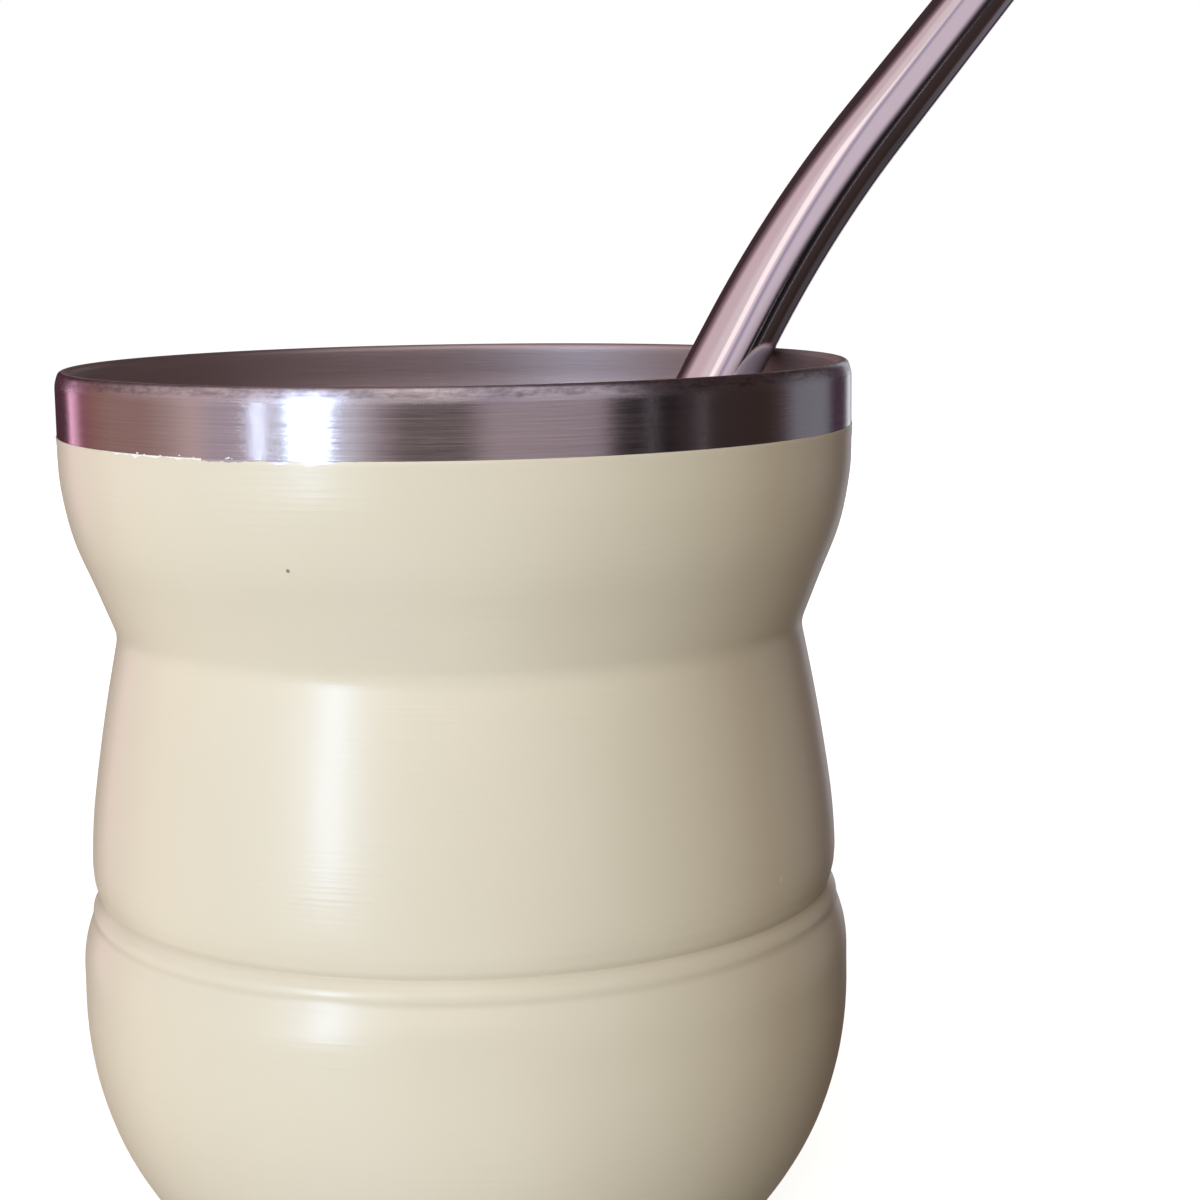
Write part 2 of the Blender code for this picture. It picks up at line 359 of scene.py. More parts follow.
def makeStraw(material):
    foot, bendStart, bendEnd = strawPlaces()
    turn = math.radians(straw["upperLean"] - straw["lowerLean"])
    taperLength = (bendEnd - bendStart).length + straw["upperLength"]
    taper = straw["endRadius"] - straw["radius"]

    def radiusAt(height):
        return straw["radius"] + taper * (1 - (straw["upperLength"] - height) / taperLength)

    def mouthShape(height):
        share = (height - straw["upperLength"] + straw["mouthLength"]) / straw["mouthLength"]
        share = min(max(share, 0), 1)
        blend = share * share * (3 - 2 * share)
        return 1 + (straw["mouthFlat"] - 1) * blend, 1 + (straw["mouthWide"] - 1) * blend

    # mouth ring, then rings down the straight upper part; the oval eases back to round
    selectNothing()
    height = straw["upperLength"]
    radius = radiusAt(height)
    bpy.ops.mesh.primitive_circle_add(vertices=straw["sides"], radius=radius, fill_type="NOTHING",
                                      location=(0, 0, height))
    piece = bpy.context.object
    piece.name = piece.data.name = "steelStraw"
    bpy.ops.object.transform_apply(location=True, rotation=True, scale=True)
    bpy.ops.object.mode_set(mode="EDIT")
    bpy.ops.mesh.select_mode(type="EDGE")
    bpy.ops.mesh.select_all(action="SELECT")
    flat, wide = mouthShape(height)
    bpy.ops.transform.resize(value=(flat, wide, 1), center_override=(0, 0, height))
    rings = straw["mouthRings"]
    stops = [straw["upperLength"] - straw["mouthLength"] * i / rings for i in range(1, rings + 1)]
    rings = straw["upperRings"]
    stops += [stops[-1] * (1 - i / rings) for i in range(1, rings + 1)]
    for nextHeight in stops:
        nextFlat, nextWide = mouthShape(nextHeight)
        growth = radiusAt(nextHeight) / radiusAt(height)
        bpy.ops.mesh.extrude_region_move(TRANSFORM_OT_translate={"value": (0, 0, nextHeight - height)})
        bpy.ops.transform.resize(value=(growth * nextFlat / flat, growth * nextWide / wide, 1),
                                 center_override=(0, 0, nextHeight))
        height, flat, wide = nextHeight, nextFlat, nextWide

    # the bend, spun a step at a time about its own centre, with the taper going on
    centre = Vector((straw["bendRadius"], 0, 0))
    radius = radiusAt(0)
    steps = straw["bendSteps"]
    for step in range(1, steps + 1):
        bpy.ops.mesh.spin(steps=1, angle=turn / steps, center=centre, axis=(0, 1, 0))
        angle = turn * step / steps
        ringCentre = centre + straw["bendRadius"] * Vector((-math.cos(angle), 0, -math.sin(angle)))
        nextRadius = radiusAt(0) + (straw["radius"] - radiusAt(0)) * step / steps
        growth = nextRadius / radius
        bpy.ops.transform.resize(value=(growth, growth, growth), center_override=ringCentre)
        radius = nextRadius

    # straight lower part, the swell of the filter bulb and its round tip
    down = Vector((math.sin(turn), 0, -math.cos(turn)))
    place = ringCentre
    total = (bendStart - foot).length
    rings = straw["lowerRings"]
    distances = [total - (total - straw["bulbLength"]) * i / rings for i in range(1, rings + 1)]
    rings = straw["bulbRings"]
    distances += [straw["bulbLength"] * (1 - i / rings) for i in range(1, rings + 1)]
    distances += [-straw["bulbRadius"] * math.sin(math.radians(a)) for a in straw["tipAngles"]]
    before = total
    for distance in distances:
        nextRadius = bulbRadiusAt(distance)
        growth = nextRadius / radius
        step = down * (before - distance)
        place = place + step
        bpy.ops.mesh.extrude_region_move(TRANSFORM_OT_translate={"value": step})
        bpy.ops.transform.resize(value=(growth, growth, growth), center_override=place)
        before, radius = distance, nextRadius
    step = down * (straw["bulbRadius"] + before)
    bpy.ops.mesh.extrude_region_move(TRANSFORM_OT_translate={"value": step})
    bpy.ops.mesh.merge(type="CENTER")
    bpy.ops.mesh.select_all(action="SELECT")
    bpy.ops.mesh.normals_make_consistent(inside=False)
    bpy.ops.object.mode_set(mode="OBJECT")

    # sheet of the tube's wall, with a softened mouth edge
    wall = piece.modifiers.new("tube wall", "SOLIDIFY")
    wall.thickness = straw["wall"]
    wall.offset = -1
    bpy.ops.object.modifier_apply(modifier=wall.name)
    rounding = piece.modifiers.new("mouth edge", "BEVEL")
    rounding.width = straw["mouthEdge"]
    rounding.segments = straw["mouthEdgeSegments"]
    rounding.limit_method = "ANGLE"
    rounding.angle_limit = math.radians(50)
    bpy.ops.object.modifier_apply(modifier=rounding.name)

    # positions along the unbent straw are kept for the drawing lines: across the tube, then along it
    flatCoords = piece.data.attributes.new("alongStraw", "FLOAT_VECTOR", "POINT")
    for i, vertex in enumerate(piece.data.vertices):
        co = vertex.co
        toCentre = Vector((co.x - centre.x, 0, co.z))
        angle = math.atan2(-toCentre.z, -toCentre.x)
        if co.z >= 0:
            along, out = co.z, co.x
        elif angle <= turn:
            along, out = -straw["bendRadius"] * angle, straw["bendRadius"] - toCentre.length
        else:
            fromBend = co - ringCentre
            along = -straw["bendRadius"] * turn - fromBend.dot(down)
            out = fromBend.dot(Vector((math.cos(turn), 0, math.sin(turn))))
        flatCoords.data[i].vector = (out, co.y, along)

    # into its place: leant, moved to the end of the bend and turned to its side of the cup
    piece.matrix_world = (Matrix.Rotation(math.radians(straw["azimuth"]), 4, "Z")
                          @ Matrix.Translation(bendEnd)
                          @ Matrix.Rotation(math.radians(straw["upperLean"]), 4, "Y"))
    bpy.ops.object.transform_apply(location=True, rotation=True, scale=True)
    drillHoles(piece, foot)
    bpy.context.view_layer.objects.active = piece
    piece.select_set(True)
    bpy.ops.object.shade_smooth_by_angle(angle=creaseAngle)
    dress(piece, "straw", material)


def drillHoles(piece, foot):
    # one pin for each hole, laid across the bulb's wall, then taken out of it
    lower = leanDirection(straw["lowerLean"])
    toLean = Vector((0, 0, 1)).rotation_difference(lower)
    toSide = Matrix.Rotation(math.radians(straw["azimuth"]), 4, "Z")
    pins = []
    for row in range(straw["holeRows"]):
        for place in range(straw["holesPerRow"]):
            angle = 2 * math.pi * (place + 0.5 * (row % 2)) / straw["holesPerRow"] + math.pi / 16
            outwards = toLean @ Vector((math.cos(angle), math.sin(angle), 0))
            middle = foot + lower * (row + 0.5) * straw["holeSpacing"] + outwards * straw["bulbRadius"]
            selectNothing()
            bpy.ops.mesh.primitive_cylinder_add(vertices=straw["holeSides"], radius=straw["holeRadius"],
                                                depth=4 * straw["wall"])
            pin = bpy.context.object
            pin.matrix_world = (toSide @ Matrix.Translation(middle)
                                @ Vector((0, 0, 1)).rotation_difference(outwards).to_matrix().to_4x4())
            pins.append(pin)
    selectNothing()
    for pin in pins:
        pin.select_set(True)
    bpy.context.view_layer.objects.active = pins[0]
    bpy.ops.object.join()
    cutter = bpy.context.object
    selectNothing()
    bpy.context.view_layer.objects.active = piece
    piece.select_set(True)
    drill = piece.modifiers.new("filter holes", "BOOLEAN")
    drill.operation = "DIFFERENCE"
    drill.solver = "EXACT"
    drill.object = cutter
    bpy.ops.object.modifier_apply(modifier=drill.name)
    bpy.data.objects.remove(cutter, do_unlink=True)


paint = {
    "colour": "E2D9C7",
    "secondTint": "DED5C1",
    "cloudSize": 18 * mm,
    "roughness": 0.28,
    "ior": 1.5,
    # relief of the coat: orange peel, and the shell's turned lines, drawn out round the cup
    "peelSize": 1.3 * mm,
    "turnedLines": 0.45 * mm,
    "turnedStretch": 0.04,
    "turnedWeight": 2.2,
    "bumpStrength": 0.22,
    "bumpDepth": 0.05 * mm,
    # the edge is chipped along a part of the front, to the white primer and further on to the steel
    "chippedFrom": -30 * mm,
    "chippedTo": -8 * mm,
    "fadeFrom": 2 * mm,
    "fadeTo": 5 * mm,
    "steelFrom": -22 * mm,
    "primerDepth": 0.48 * mm,
    "steelDepth": 0.51 * mm,
    "edgeOverlap": 0.02 * mm,
    "chipSize": 2.0 * mm,
    "chipSpan": (0.37, 0.70),
    "primer": "F8F6F2",
    "steel": "B8B0B2",
    # height, reach and strength of the painted shade rings: the groove and the dip under its bead
    "grooveShade": [(36.3 * mm, 0.75 * mm, 0.20), (34.2 * mm, 0.55 * mm, 0.12)],
    "grooveShadeTint": "8C7F6C",
    # place, radius and colour of the specks
    "specks": [((-14.72 * mm, -34.88 * mm, 72.28 * mm), 0.22 * mm, "6E4438"),
               ((29.03 * mm, -23.29 * mm, 40.65 * mm), 0.30 * mm, "F2ECDF")],
    "speckStrength": 0.8,
    "speckCore": 0.6,
}


def layColour(tree, factor, under, over):
    # one colour laid over another by a factor, whatever kind of value each one is
    return addNode(tree, "ShaderNodeMix", {"data_type": "RGBA"}, {"Factor": factor, "A": under, "B": over})


def creamPaintSprayedAndBaked():
    # baked enamel over a spun steel shell: satin, with faint orange peel and the turned lines under it
    material, tree, shader = startMaterial("creamPaintSprayedAndBaked")
    coords = addNode(tree, "ShaderNodeTexCoord")
    place = (coords, "Object")
    parts = addNode(tree, "ShaderNodeSeparateXYZ", {}, {"Vector": place})
    cloud = addNode(tree, "ShaderNodeTexNoise", {}, {
        "Vector": place, "Scale": 1 / paint["cloudSize"], "Detail": 2.0})
    tint = layColour(tree, cloud, linearColour(paint["colour"]), linearColour(paint["secondTint"]))

    # two tiny specks: dirt caught in the coat, and a light grain
    for centre, size, colour in paint["specks"]:
        gap = addNode(tree, "ShaderNodeVectorMath", {"operation": "DISTANCE"}, {0: place, 1: centre})
        dot = addNode(tree, "ShaderNodeMapRange", {}, {
            "Value": (gap, "Value"), "From Min": size, "From Max": paint["speckCore"] * size,
            "To Min": 0.0, "To Max": paint["speckStrength"]})
        tint = layColour(tree, dot, tint, linearColour(colour))

    # painted shade darkens the groove and the dip under its bead, where the crease lies in shadow
    for height, reach, strength in paint["grooveShade"]:
        away = addNode(tree, "ShaderNodeMath", {"operation": "SUBTRACT"}, {0: (parts, "Z"), 1: height})
        away = addNode(tree, "ShaderNodeMath", {"operation": "ABSOLUTE"}, {0: away})
        grooveShade = addNode(tree, "ShaderNodeMapRange", {"interpolation_type": "SMOOTHSTEP"}, {
            "Value": away, "From Min": reach, "From Max": 0.0, "To Min": 0.0, "To Max": strength})
        tint = layColour(tree, grooveShade, tint, linearColour(paint["grooveShadeTint"]))

    # ragged upper edge: the coat is gone above a line that wanders with a noise
    ragged = addNode(tree, "ShaderNodeTexNoise", {}, {
        "Vector": place, "Scale": 1 / paint["chipSize"], "Detail": 3.0, "Roughness": 0.5})
    depth = addNode(tree, "ShaderNodeMapRange", {}, {
        "Value": ragged, "From Min": paint["chipSpan"][0], "From Max": paint["chipSpan"][1]})
    leftEnd = addNode(tree, "ShaderNodeMapRange", {}, {
        "Value": (parts, "X"), "From Min": paint["chippedFrom"] - paint["fadeFrom"],
        "From Max": paint["chippedFrom"]})
    rightEnd = addNode(tree, "ShaderNodeMapRange", {}, {
        "Value": (parts, "X"), "From Min": paint["chippedTo"],
        "From Max": paint["chippedTo"] - paint["fadeTo"]})
    front = addNode(tree, "ShaderNodeMath", {"operation": "LESS_THAN"}, {0: (parts, "Y"), 1: 0.0})
    deep = addNode(tree, "ShaderNodeMath", {"operation": "GREATER_THAN"}, {
        0: (parts, "X"), 1: paint["steelFrom"]})
    fullDepth = addNode(tree, "ShaderNodeMapRange", {}, {
        "Value": deep, "To Min": paint["primerDepth"], "To Max": paint["steelDepth"]})
    reach = depth
    for factor in (leftEnd, rightEnd, front, fullDepth):
        reach = addNode(tree, "ShaderNodeMath", {"operation": "MULTIPLY"}, {0: reach, 1: factor})
    edge = addNode(tree, "ShaderNodeMath", {"operation": "SUBTRACT"}, {
        0: body["paintTop"] + paint["edgeOverlap"], 1: reach})
    bare = addNode(tree, "ShaderNodeMath", {"operation": "GREATER_THAN"}, {0: (parts, "Z"), 1: edge})
    metal = addNode(tree, "ShaderNodeMath", {"operation": "MULTIPLY"}, {0: bare, 1: deep})
    under = layColour(tree, deep, linearColour(paint["primer"]), linearColour(paint["steel"]))
    colour = layColour(tree, bare, tint, under)

    peel = addNode(tree, "ShaderNodeTexNoise", {}, {
        "Vector": place, "Scale": 1 / paint["peelSize"], "Detail": 1.0})
    stretched = addNode(tree, "ShaderNodeMapping", {}, {
        "Vector": place, "Scale": (paint["turnedStretch"], paint["turnedStretch"], 1.0)})
    lines = addNode(tree, "ShaderNodeTexNoise", {}, {
        "Vector": stretched, "Scale": 1 / paint["turnedLines"], "Detail": 3.0})
    relief = addNode(tree, "ShaderNodeMath", {"operation": "MULTIPLY_ADD"}, {
        0: lines, 1: paint["turnedWeight"], 2: peel})
    bump = addNode(tree, "ShaderNodeBump", {}, {
        "Height": relief, "Strength": paint["bumpStrength"], "Distance": paint["bumpDepth"]})
    setShader(tree, shader, {"Base Color": colour, "Metallic": metal, "Normal": bump,
                             "Roughness": paint["roughness"], "IOR": paint["ior"]})
    return material


brushed = {
    "darkTone": "B4ADAF",
    "lightTone": "D3CCCD",
    "roughness": (0.17, 0.25),
    "roughnessSpan": (0.3, 0.7),
    # fine lines, and single strokes that begin and end
    "lineSpacing": 0.16 * mm,
    "lineLength": 14 * mm,
    "strokeHeight": 0.22 * mm,
    "strokeLength": 3.5 * mm,
    "strokeWeight": 2.2,
    "bumpStrength": 0.35,
    "bumpDepth": 0.02 * mm,
    # rubbed strip under the lip
    "mottleSize": 0.5 * mm,
    "mottleStretch": 0.35,
    "stripFade": 0.8 * mm,
    "stripDullness": 0.25,
    "patchSpan": (0.40, 0.65),
    "patchStrength": 0.55,
    "rubbedTint": "6E6264",
    # inside of the cup
    "insideRadius": 38.3 * mm,
    "insideDullness": 0.34,
    # the inside's warm tint is painted reflection of warm surroundings, not a colour of the steel
    "insideReflectionTint": "FAEEE6",
    # how far the lines spread a highlight, outside and inside
    "grain": (0.85, 0.25),
    "grainTurn": 0.25,
    # flecks of stray paint
    "strayPaint": "F1EEE8",
    "straySize": 0.8 * mm,
    "strayFlatness": 2.4,
    "strayRadius": 0.20,
    "strayReach": 0.20 * mm,
    "strayStop": 4 * mm,
}


def stainlessSteelBrushedRound():
    # 304 stainless turned under abrasive: fine lines round the cup that spread highlights up and down
    material, tree, shader = startMaterial("stainlessSteelBrushedRound")
    coords = addNode(tree, "ShaderNodeTexCoord")
    place = (coords, "Object")
    parts = addNode(tree, "ShaderNodeSeparateXYZ", {}, {"Vector": place})
    share = brushed["lineSpacing"] / brushed["lineLength"]
    stretched = addNode(tree, "ShaderNodeMapping", {}, {"Vector": place, "Scale": (share, share, 1.0)})
    lines = addNode(tree, "ShaderNodeTexNoise", {}, {
        "Vector": stretched, "Scale": 1 / brushed["lineSpacing"], "Detail": 4.0, "Roughness": 0.65})

    # strokes, so that the borders of reflections look combed
    share = brushed["strokeHeight"] / brushed["strokeLength"]
    strokePlace = addNode(tree, "ShaderNodeMapping", {}, {"Vector": place, "Scale": (share, share, 1.0)})
    strokes = addNode(tree, "ShaderNodeTexNoise", {}, {
        "Vector": strokePlace, "Scale": 1 / brushed["strokeHeight"], "Detail": 2.0, "Roughness": 0.5})
    relief = addNode(tree, "ShaderNodeMath", {"operation": "MULTIPLY_ADD"}, {
        0: strokes, 1: brushed["strokeWeight"], 2: lines})
    bump = addNode(tree, "ShaderNodeBump", {}, {
        "Height": relief, "Strength": brushed["bumpStrength"], "Distance": brushed["bumpDepth"]})

    # inside and outside told apart by their distance from the cup's axis
    level = addNode(tree, "ShaderNodeMapping", {}, {"Vector": place, "Scale": (1.0, 1.0, 0.0)})
    radius = addNode(tree, "ShaderNodeVectorMath", {"operation": "LENGTH"}, {0: level})
    within = addNode(tree, "ShaderNodeMath", {"operation": "LESS_THAN"}, {
        0: (radius, "Value"), 1: brushed["insideRadius"]})
    outer = addNode(tree, "ShaderNodeMath", {"operation": "SUBTRACT"}, {0: 1.0, 1: within})

    # the lip is rubbed unevenly: a mottled, slightly duller strip under it; the inside is left dull
    stretch = brushed["mottleStretch"]
    flat = addNode(tree, "ShaderNodeMapping", {}, {"Vector": place, "Scale": (stretch, stretch, 1.0)})
    mottle = addNode(tree, "ShaderNodeTexNoise", {}, {
        "Vector": flat, "Scale": 1 / brushed["mottleSize"], "Detail": 4.0, "Roughness": 0.7})
    lipZone = addNode(tree, "ShaderNodeMapRange", {}, {
        "Value": (parts, "Z"), "From Min": liner["easeHeight"],
        "From Max": liner["easeHeight"] + brushed["stripFade"]})
    rubbed = mottle
    for factor in (lipZone, outer):
        rubbed = addNode(tree, "ShaderNodeMath", {"operation": "MULTIPLY"}, {0: rubbed, 1: factor})
    dull = addNode(tree, "ShaderNodeMapRange", {}, {
        "Value": lines, "From Min": brushed["roughnessSpan"][0], "From Max": brushed["roughnessSpan"][1],
        "To Min": brushed["roughness"][0], "To Max": brushed["roughness"][1]})
    for zone, more in ((rubbed, brushed["stripDullness"]), (within, brushed["insideDullness"])):
        dull = addNode(tree, "ShaderNodeMath", {"operation": "MULTIPLY_ADD"}, {0: zone, 1: more, 2: dull})

    # a few flecks of stray paint sit just above the chipped edge
    flattened = addNode(tree, "ShaderNodeMapping", {}, {
        "Vector": place, "Scale": (1.0, 1.0, brushed["strayFlatness"])})
    cells = addNode(tree, "ShaderNodeTexVoronoi", {}, {
        "Vector": flattened, "Scale": 1 / brushed["straySize"]})
    fleck = outer
    for value, operation, limit in (
            ((cells, "Distance"), "LESS_THAN", brushed["strayRadius"]),
            ((parts, "Z"), "LESS_THAN", body["paintTop"] + brushed["strayReach"]),
            ((parts, "X"), "LESS_THAN", paint["chippedTo"] - brushed["strayStop"]),
            ((parts, "X"), "GREATER_THAN", paint["chippedFrom"])):
        here = addNode(tree, "ShaderNodeMath", {"operation": operation}, {0: value, 1: limit})
        fleck = addNode(tree, "ShaderNodeMath", {"operation": "MULTIPLY"}, {0: fleck, 1: here})

    tone = layColour(tree, lines, linearColour(brushed["darkTone"]), linearColour(brushed["lightTone"]))
    patches = addNode(tree, "ShaderNodeMapRange", {}, {
        "Value": rubbed, "From Min": brushed["patchSpan"][0], "From Max": brushed["patchSpan"][1],
        "To Min": 0.0, "To Max": brushed["patchStrength"]})
    tone = layColour(tree, patches, tone, linearColour(brushed["rubbedTint"]))
    # painted reflection: the inside is tinted warm, for the warm surroundings it mirrors
    tone = addNode(tree, "ShaderNodeMix", {"data_type": "RGBA", "blend_type": "MULTIPLY"}, {
        "Factor": within, "A": tone, "B": linearColour(brushed["insideReflectionTint"])})
    tone = layColour(tree, fleck, tone, linearColour(brushed["strayPaint"]))
    metal = addNode(tree, "ShaderNodeMath", {"operation": "SUBTRACT"}, {0: 1.0, 1: fleck})
    tangent = addNode(tree, "ShaderNodeTangent", {"direction_type": "RADIAL", "axis": "Z"})
    grain = addNode(tree, "ShaderNodeMapRange", {}, {
        "Value": within, "To Min": brushed["grain"][0], "To Max": brushed["grain"][1]})
    setShader(tree, shader, {"Base Color": tone, "Metallic": metal, "Normal": bump, "Roughness": dull,
                             "Tangent": tangent, "Anisotropic": grain,
                             "Anisotropic Rotation": brushed["grainTurn"]})
    return material


polished = {
    "colour": "CFC6C8",
    "roughness": (0.07, 0.17),
    "roughnessSpan": (0.35, 0.75),
    "lineSpacing": 0.25 * mm,
    "lineLength": 9 * mm,
    "bumpStrength": 0.14,
    "bumpDepth": 0.01 * mm,
}


def stainlessSteelDrawnAndPolished():
    # drawn tube, buffed bright: clear reflections with a few hairlines left along it
    material, tree, shader = startMaterial("stainlessSteelDrawnAndPolished")
    along = addNode(tree, "ShaderNodeAttribute", {"attribute_name": "alongStraw"})
    share = polished["lineSpacing"] / polished["lineLength"]
    stretched = addNode(tree, "ShaderNodeMapping", {}, {
        "Vector": (along, "Vector"), "Scale": (1.0, 1.0, share)})
    lines = addNode(tree, "ShaderNodeTexNoise", {}, {
        "Vector": stretched, "Scale": 1 / polished["lineSpacing"], "Detail": 3.0, "Roughness": 0.6})
    rough = addNode(tree, "ShaderNodeMapRange", {}, {
        "Value": lines, "From Min": polished["roughnessSpan"][0], "From Max": polished["roughnessSpan"][1],
        "To Min": polished["roughness"][0], "To Max": polished["roughness"][1]})
    bump = addNode(tree, "ShaderNodeBump", {}, {
        "Height": lines, "Strength": polished["bumpStrength"], "Distance": polished["bumpDepth"]})
    setShader(tree, shader, {"Base Color": linearColour(polished["colour"]), "Metallic": 1.0,
                             "Roughness": rough, "Normal": bump})
    return material


camera = {
    "distance": 238.87 * mm,
    "height": 100.61 * mm,
    "yaw": 3.34,
    "pitch": 8.743,
    "roll": 0.759,
    "lens": 72.0,
    "sensor": 36.0,
    "nearest": 10 * mm,
}


def placeCamera():
    data = bpy.data.cameras.new("camera")
    data.lens = camera["lens"]
    data.sensor_width = camera["sensor"]
    data.clip_start = camera["nearest"]
    item = bpy.data.objects.new("camera", data)
    bpy.context.scene.collection.objects.link(item)
    item.matrix_world = (Matrix.Translation((0, -camera["distance"], camera["height"]))
                         @ Matrix.Rotation(-math.radians(camera["yaw"]), 4, "Z")
                         @ Matrix.Rotation(math.radians(90 - camera["pitch"]), 4, "X")
                         @ Matrix.Rotation(-math.radians(camera["roll"]), 4, "Z"))
    bpy.context.scene.camera = item


studio = {
    # cards that the steel mirrors: from and to in degrees, 0 in front and minus to the left
    "walls": [
        (-160, -144, "4F3038"),  # plum card
        (-138, -136, "FFC8E4"),  # pale edge beside it
        (-131.5, -131.5, "98546A"),
        (-124, -124, "A0746C"),
        (-113, -96, "AE8A83"),   # warm card
        (-86, -86, "C2A9A7"),
        (-78, -78, "E2C8C6"),
        (-70, -62, "C6B8C8"),    # dim card
        (-57, -30, "EEF0FF"),    # bright card
        (-22, -22, "A897A3"),
        (-15, 2, "50424C"),
        (9, 40, "B4A6B0"),       # grey card
        (42.5, 42.5, "7C7278"),
        (44, 60, "191517"),      # black card
        (66, 66, "463E40"),
        (97, 97, "42342F"),
        (104, 104, "564648"),
        (111, 130, "8E8E98"),    # pale grey card
        (136, 151, "4A3A46"),
        (156, 160, "F4F6FF"),    # bright strip
        (166, 166, "5A4A44"),
    ],
    "upper": [
        (-180, -140, "4A3A3C"), (-122, -122, "9C8088"), (-104, -60, "F0DADF"), (-40, 4, "FFF2F6"),
        (9, 12, "B6ACCA"), (19, 48, "F0E4F2"), (60, 60, "4A3E44"), (100, 180, "4A3A38"),
    ],
    "lower": [
        (-180, -120, "8A7468"), (-70, 10, "C8BAA4"), (40, 50, "6A5A4C"), (70, 150, "2C2421"),
        (170, 180, "8A7468"),
    ],
    # heights of a ray's direction between which the upper and the lower cards take over
    "upperBlend": (0.10, 0.42),
    "lowerBlend": (-0.17, -0.34),
    # share of the cards' light that matt surfaces take
    "softFill": 0.10,
    "lampDistance": 0.9,
    "lampAim": 50 * mm,
    "lamps": {
        # key light from the left, on the paint and mirrored in the band, with two narrow lights beside it
        "keyLight": {"azimuth": -40.2, "elevation": 8, "width": 0.115, "height": 0.45,
                     "radiance": 18.0, "colour": "BCD9FF", "mirrored": True},
        "sideLight": {"azimuth": -55.2, "elevation": 7, "width": 0.009, "height": 0.50,
                      "radiance": 16.5, "colour": "CCE0FF", "mirrored": True},
        "pinkEdge": {"azimuth": -137.5, "elevation": -2, "width": 0.022, "height": 0.30,
                     "radiance": 2.0, "colour": "FFB4DC", "mirrored": True},
        # faint lights that streak the steel: a strip overhead and two thin ones in front of the black card
        "strip": {"azimuth": -7, "elevation": 53, "width": 0.20, "height": 0.50,
                  "radiance": 0.62, "colour": "FFFAFA", "mirrored": True},
        "thinLight": {"azimuth": 53.5, "elevation": 0, "width": 0.014, "height": 0.3,
                      "radiance": 0.7, "colour": "E8E4F0", "mirrored": True},
        "farThinLight": {"azimuth": 70, "elevation": 0, "width": 0.014, "height": 0.3,
                         "radiance": 0.55, "colour": "E8E4F0", "mirrored": True},
        # wide soft box in front, and bounce light from below and from both sides
        "softBox": {"azimuth": -13, "elevation": 33, "width": 0.88, "height": 0.80,
                    "radiance": 2.65, "colour": "FFF9E7", "mirrored": False},
        "lowBounce": {"azimuth": -12, "elevation": -38, "width": 0.9, "height": 0.50,
                      "radiance": 2.3, "colour": "FFFDF2", "mirrored": False},
        "rightBounce": {"azimuth": 100, "elevation": 0, "width": 0.5, "height": 0.8,
                        "radiance": 0.30, "colour": "FFA070", "mirrored": False},
        "leftBounce": {"azimuth": -112, "elevation": -12, "width": 0.6, "height": 0.8,
                       "radiance": 2.8, "colour": "FFEACB", "mirrored": False},
        # soft light from behind, for the cup's far side
        "behind": {"azimuth": 172, "elevation": 15, "width": 0.7, "height": 0.7,
                   "radiance": 2.4, "colour": "FFFAF4", "mirrored": False},
    },
}


def placeLamp(name, lamp):
    # a flat lamp of that radiance, turned to the middle of the cup
    data = bpy.data.lights.new(name, "AREA")
    data.shape = "RECTANGLE"
    data.size, data.size_y = lamp["width"], lamp["height"]
    data.energy = lamp["radiance"] * math.pi * lamp["width"] * lamp["height"]
    data.color = linearColour(lamp["colour"])[:3]
    item = bpy.data.objects.new(name, data)
    bpy.context.scene.collection.objects.link(item)
    side, up = math.radians(lamp["azimuth"]), math.radians(lamp["elevation"])
    towards = Vector((math.sin(side) * math.cos(up), -math.cos(side) * math.cos(up), math.sin(up)))
    place = Vector((0, 0, studio["lampAim"])) + towards * studio["lampDistance"]
    item.matrix_world = Matrix.Translation(place) @ (-towards).to_track_quat("-Z", "Y").to_matrix().to_4x4()
    item.visible_camera = False
    item.visible_glossy = lamp["mirrored"]


def cardStops(cards):
    # a ramp stop at each end of a card, or one where the card is a mere edge
    return [((angle + 180) / 360, linearColour(colour))
            for start, end, colour in cards for angle in sorted({start, end})]


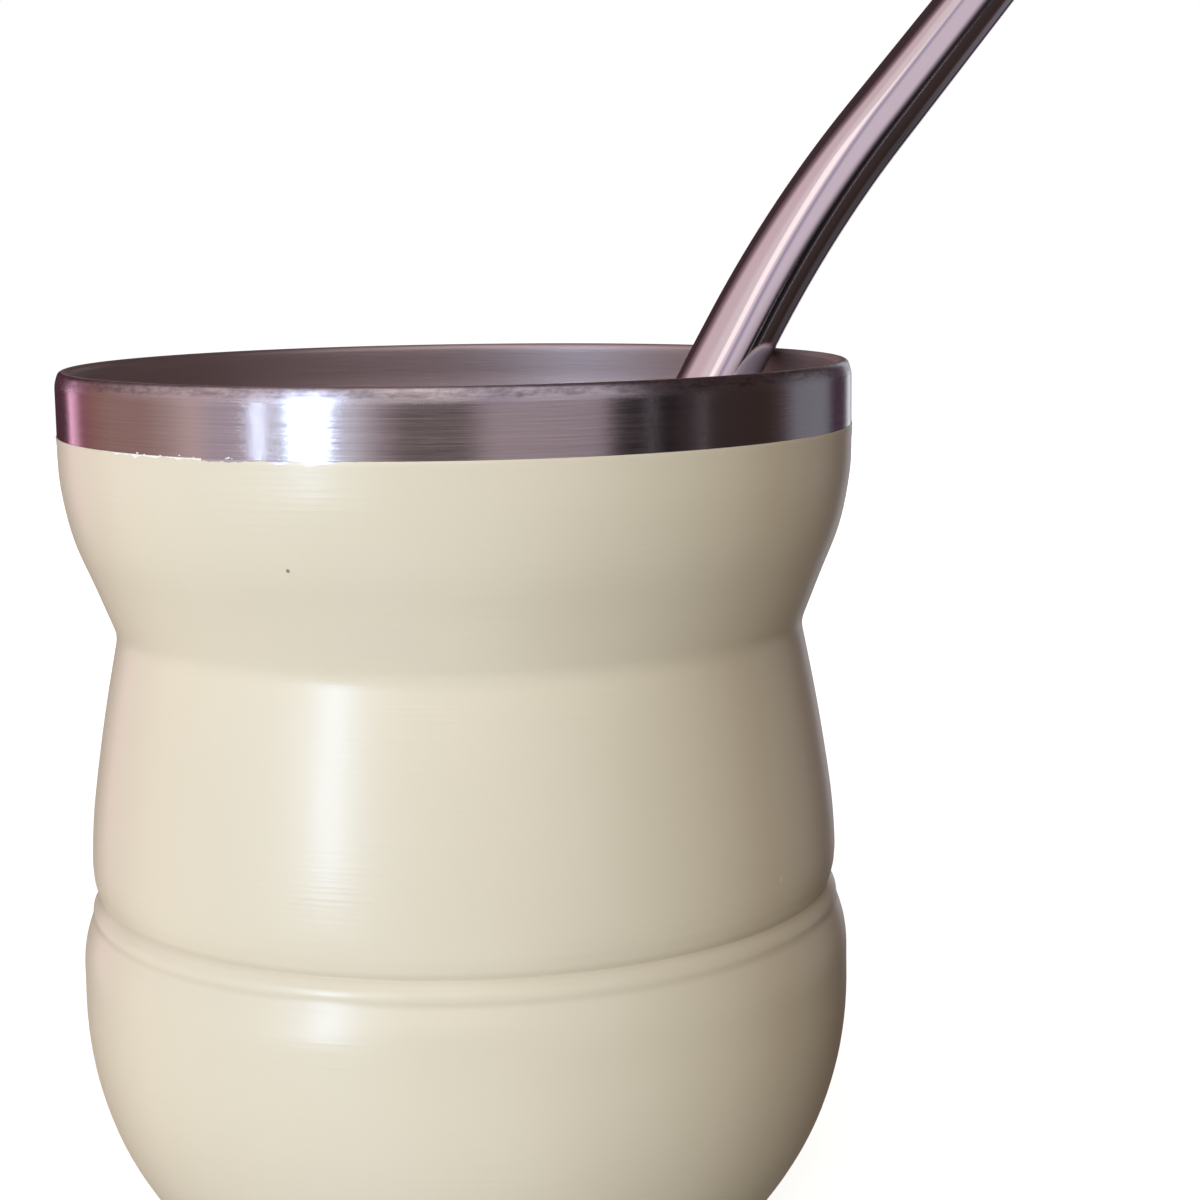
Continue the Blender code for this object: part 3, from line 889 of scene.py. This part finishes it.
def placeStudio():
    world = bpy.data.worlds.new("studio")
    bpy.context.scene.world = world
    world.use_nodes = True
    world.cycles.sampling_method = "NONE"
    tree = world.node_tree
    background = tree.nodes["Background"]
    direction = addNode(tree, "ShaderNodeTexCoord")
    parts = addNode(tree, "ShaderNodeSeparateXYZ", {}, {"Vector": (direction, "Generated")})
    front = addNode(tree, "ShaderNodeMath", {"operation": "MULTIPLY"}, {0: (parts, "Y"), 1: -1.0})
    angle = addNode(tree, "ShaderNodeMath", {"operation": "ARCTAN2"}, {0: (parts, "X"), 1: front})
    share = addNode(tree, "ShaderNodeMapRange", {}, {
        "Value": angle, "From Min": -math.pi, "From Max": math.pi, "To Min": 0.0, "To Max": 1.0})
    room = addNode(tree, "ShaderNodeValToRGB", {}, {"Fac": share})
    fillRamp(room, cardStops(studio["walls"]))
    for cards, blend in (("upper", "upperBlend"), ("lower", "lowerBlend")):
        ramp = addNode(tree, "ShaderNodeValToRGB", {}, {"Fac": share})
        fillRamp(ramp, cardStops(studio[cards]))
        start, end = studio[blend]
        turned = addNode(tree, "ShaderNodeMapRange", {"interpolation_type": "SMOOTHSTEP"}, {
            "Value": (parts, "Z"), "From Min": start, "From Max": end})
        room = layColour(tree, turned, room, ramp)

    # matt surfaces take most of their light from the lamps, and the camera sees plain white behind the cup
    rays = addNode(tree, "ShaderNodeLightPath")
    fill = layColour(tree, studio["softFill"], linearColour("000000"), room)
    lit = layColour(tree, (rays, "Is Diffuse Ray"), room, fill)
    seen = layColour(tree, (rays, "Is Camera Ray"), lit, linearColour("FFFFFF"))
    plug(tree, seen, background.inputs["Color"])
    for name, lamp in studio["lamps"].items():
        placeLamp(name, lamp)
    bpy.context.scene.view_settings.view_transform = "Standard"


paper = {
    "size": 8.0,
    "drop": 0.05 * mm,
    "colour": "DCDCDC",
    "roughness": 0.9,
    # glow under the cup, and further out, where the floor is plain white
    "nearGlow": 0.80,
    "farGlow": 1.0,
    "nearRadius": 60 * mm,
    "farRadius": 400 * mm,
}


def placeFloor():
    selectNothing()
    bpy.ops.mesh.primitive_plane_add(size=paper["size"], location=(0, 0, -paper["drop"]))
    floor = bpy.context.object
    floor.name = "floor"
    # plain white away from the cup, a little less near it so that the soft shadow shows
    material, tree, shader = startMaterial("palePaperFloor")
    coords = addNode(tree, "ShaderNodeTexCoord")
    reach = addNode(tree, "ShaderNodeVectorMath", {"operation": "LENGTH"}, {0: (coords, "Object")})
    glow = addNode(tree, "ShaderNodeMapRange", {"interpolation_type": "SMOOTHSTEP"}, {
        "Value": (reach, "Value"), "From Min": paper["nearRadius"], "From Max": paper["farRadius"],
        "To Min": paper["nearGlow"], "To Max": paper["farGlow"]})
    setShader(tree, shader, {"Base Color": linearColour(paper["colour"]), "Roughness": paper["roughness"],
                             "Specular IOR Level": 0.0, "Emission Color": linearColour("FFFFFF"),
                             "Emission Strength": glow})
    floor.data.materials.append(material)
    floor.visible_diffuse = floor.visible_glossy = floor.visible_shadow = False


placeCamera()
placeStudio()
placeFloor()
print("camera, light and floor placed")
makeBody(creamPaintSprayedAndBaked())
print("painted body made")
makeLiner(stainlessSteelBrushedRound())
print("steel liner made")
makeStraw(stainlessSteelDrawnAndPolished())
print("straw made")
